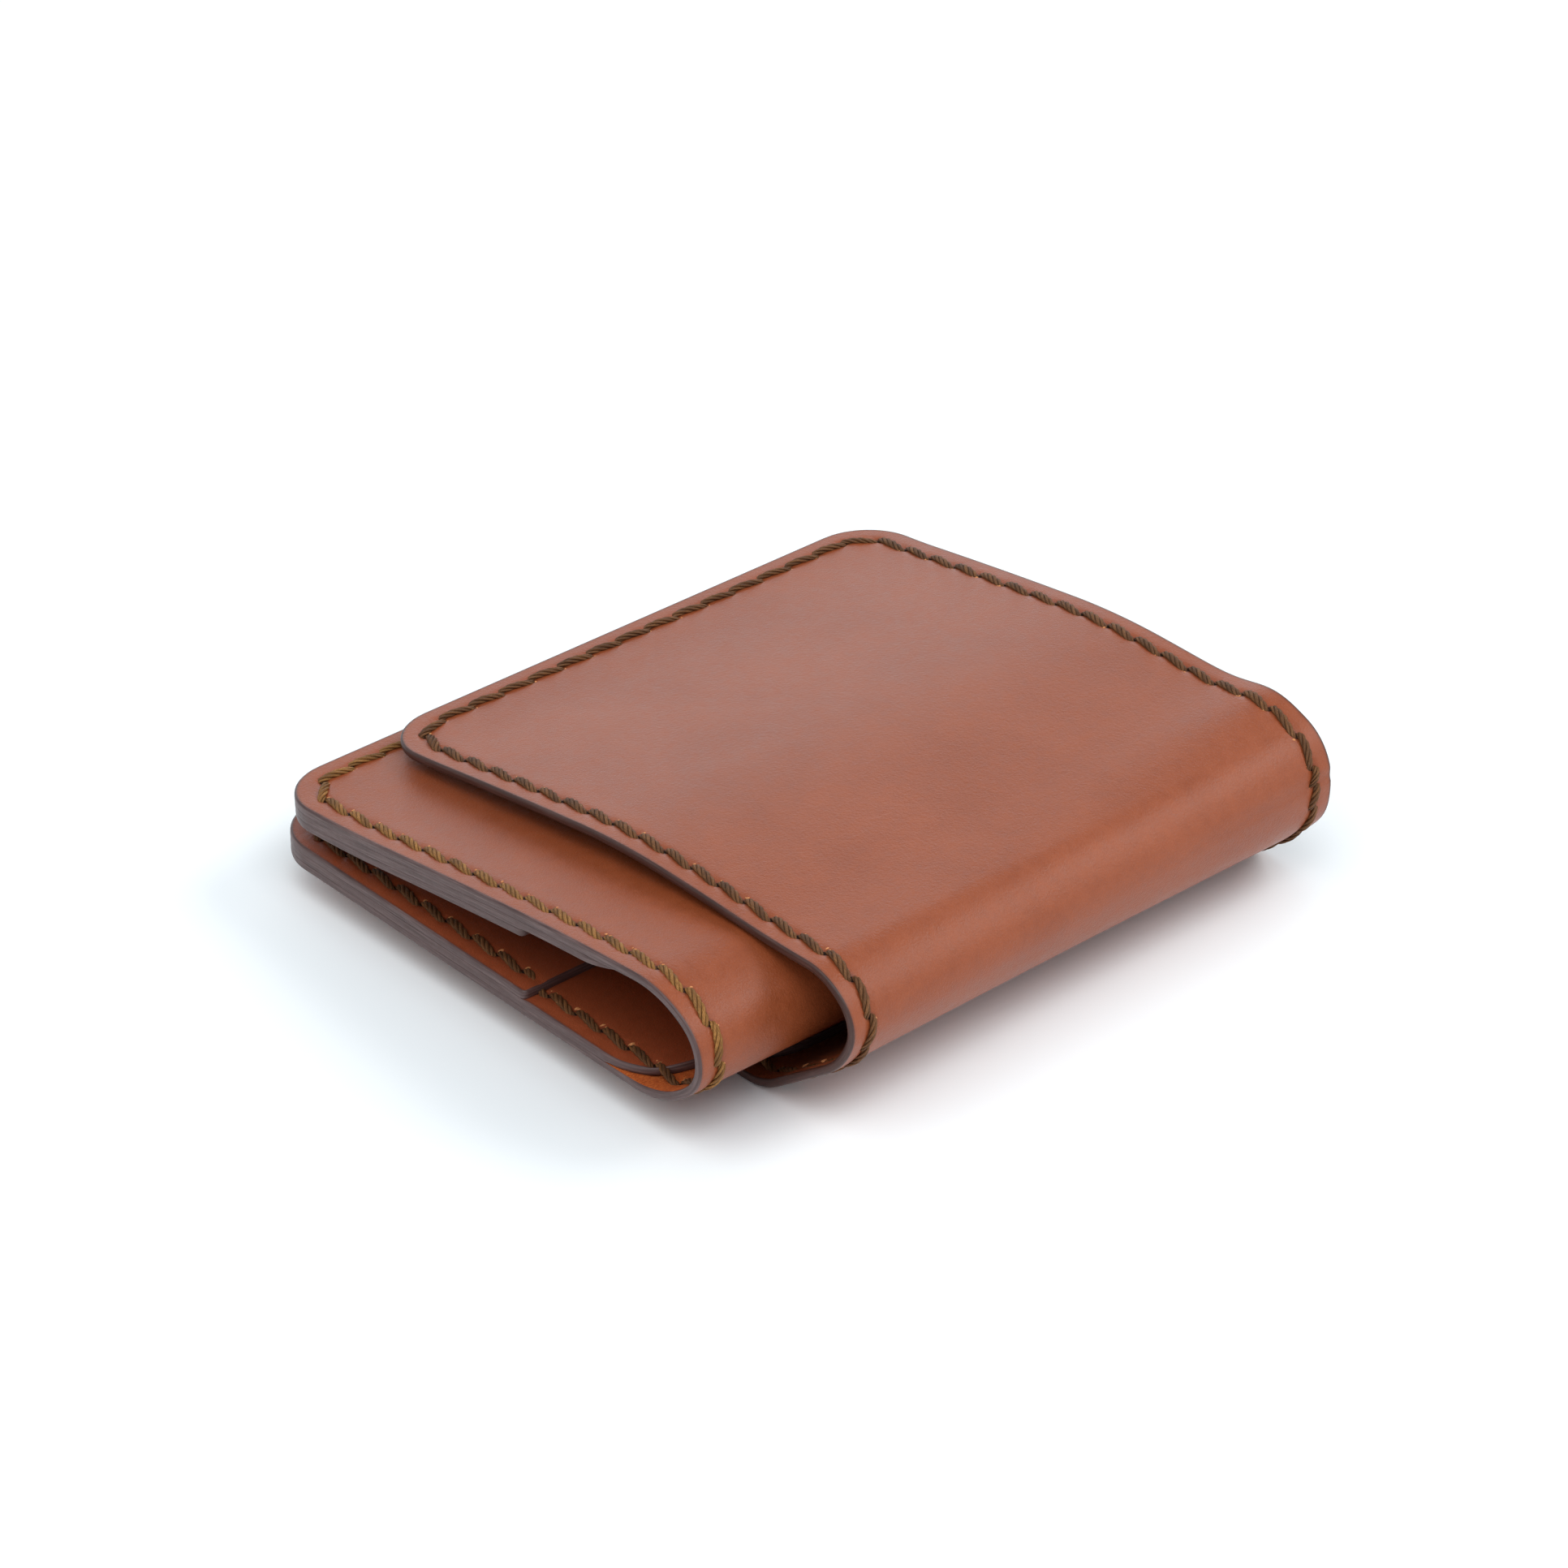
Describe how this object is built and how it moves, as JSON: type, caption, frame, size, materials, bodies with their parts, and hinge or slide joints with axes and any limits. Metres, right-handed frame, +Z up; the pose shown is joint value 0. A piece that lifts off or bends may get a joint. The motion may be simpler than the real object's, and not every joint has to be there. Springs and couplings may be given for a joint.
{
  "type": "bifold leather card wallet with slide-out inner wallet",
  "caption": "Closed leather card holder: a wrap-around outer bifold with a smaller pocketed bifold wallet nested in its fold, partly slid out; both fold open.",
  "frame": {"origin": "middle of the flat underside of the outer wallet's base, on the surface it lies on", "axes": "+X from the free edges towards the folds, +Y along the folds towards the end opposite the drawn-out inner wallet, +Z up"},
  "size_m": [0.1075, 0.1125, 0.0263],
  "materials": {
    "shell_leather": "smooth vegetable-tanned, softly polished, dark burnished edges",
    "pocket_leather": "smooth vegetable-tanned pocket leather, dark burnished edges",
    "thread": "thick waxed linen thread"
  },
  "bodies": {
    "outer_base": {"outer_base_shell": "shell_leather", "outer_base_lower_pocket": "pocket_leather", "outer_base_upper_pocket": "pocket_leather", "outer_base_thread": "thread"},
    "outer_fold_low": {"outer_fold_low_shell": "shell_leather", "outer_fold_low_thread": "thread"},
    "outer_fold_high": {"outer_fold_high_shell": "shell_leather", "outer_fold_high_thread": "thread"},
    "outer_flap": {"outer_flap_shell": "shell_leather", "outer_flap_thread": "thread"},
    "inner_base": {"inner_base_shell": "shell_leather", "inner_base_lower_pocket": "pocket_leather", "inner_base_upper_pocket": "pocket_leather", "inner_base_thread": "thread"},
    "inner_fold_low": {"inner_fold_low_shell": "shell_leather", "inner_fold_low_thread": "thread"},
    "inner_fold_high": {"inner_fold_high_shell": "shell_leather", "inner_fold_high_thread": "thread"},
    "inner_flap": {"inner_flap_shell": "shell_leather", "inner_flap_lower_pocket": "pocket_leather", "inner_flap_upper_pocket": "pocket_leather", "inner_flap_thread": "thread"}
  },
  "joints": [
    {"name": "outer_low_hinge", "type": "hinge", "parent": "outer_base", "child": "outer_fold_low", "pos_m": [0.04394, 0, 0.0012], "axis": [0, 1, 0], "range_deg": [0, 36]},
    {"name": "outer_mid_hinge", "type": "hinge", "parent": "outer_fold_low", "child": "outer_fold_high", "pos_m": [0.06194, 0, 0.01697], "axis": [0, 1, 0], "range_deg": [0, 66]},
    {"name": "outer_top_hinge", "type": "hinge", "parent": "outer_fold_high", "child": "outer_flap", "pos_m": [0.05904, 0, 0.02336], "axis": [0, 1, 0], "range_deg": [0, 80]},
    {"name": "inner_slide", "type": "slide", "parent": "outer_base", "child": "inner_base", "axis": [0, -1, 0], "range_m": [-0.0175, 0.075]},
    {"name": "inner_low_hinge", "type": "hinge", "parent": "inner_base", "child": "inner_fold_low", "pos_m": [0.04393, 0, 0.00693], "axis": [0, 1, 0], "range_deg": [0, 36]},
    {"name": "inner_mid_hinge", "type": "hinge", "parent": "inner_fold_low", "child": "inner_fold_high", "pos_m": [0.05118, 0, 0.01555], "axis": [0, 1, 0], "range_deg": [0, 72]},
    {"name": "inner_top_hinge", "type": "hinge", "parent": "inner_fold_high", "child": "inner_flap", "pos_m": [0.04665, 0, 0.02164], "axis": [0, 1, 0], "range_deg": [0, 78]}
  ],
  "couplings": [
    {"joint": "outer_low_hinge", "follows": "outer_top_hinge", "ratio": 0.45},
    {"joint": "outer_mid_hinge", "follows": "outer_top_hinge", "ratio": 0.825},
    {"joint": "inner_low_hinge", "follows": "outer_top_hinge", "ratio": 0.45},
    {"joint": "inner_mid_hinge", "follows": "outer_top_hinge", "ratio": 0.9},
    {"joint": "inner_top_hinge", "follows": "outer_top_hinge", "ratio": 0.975}
  ]
}
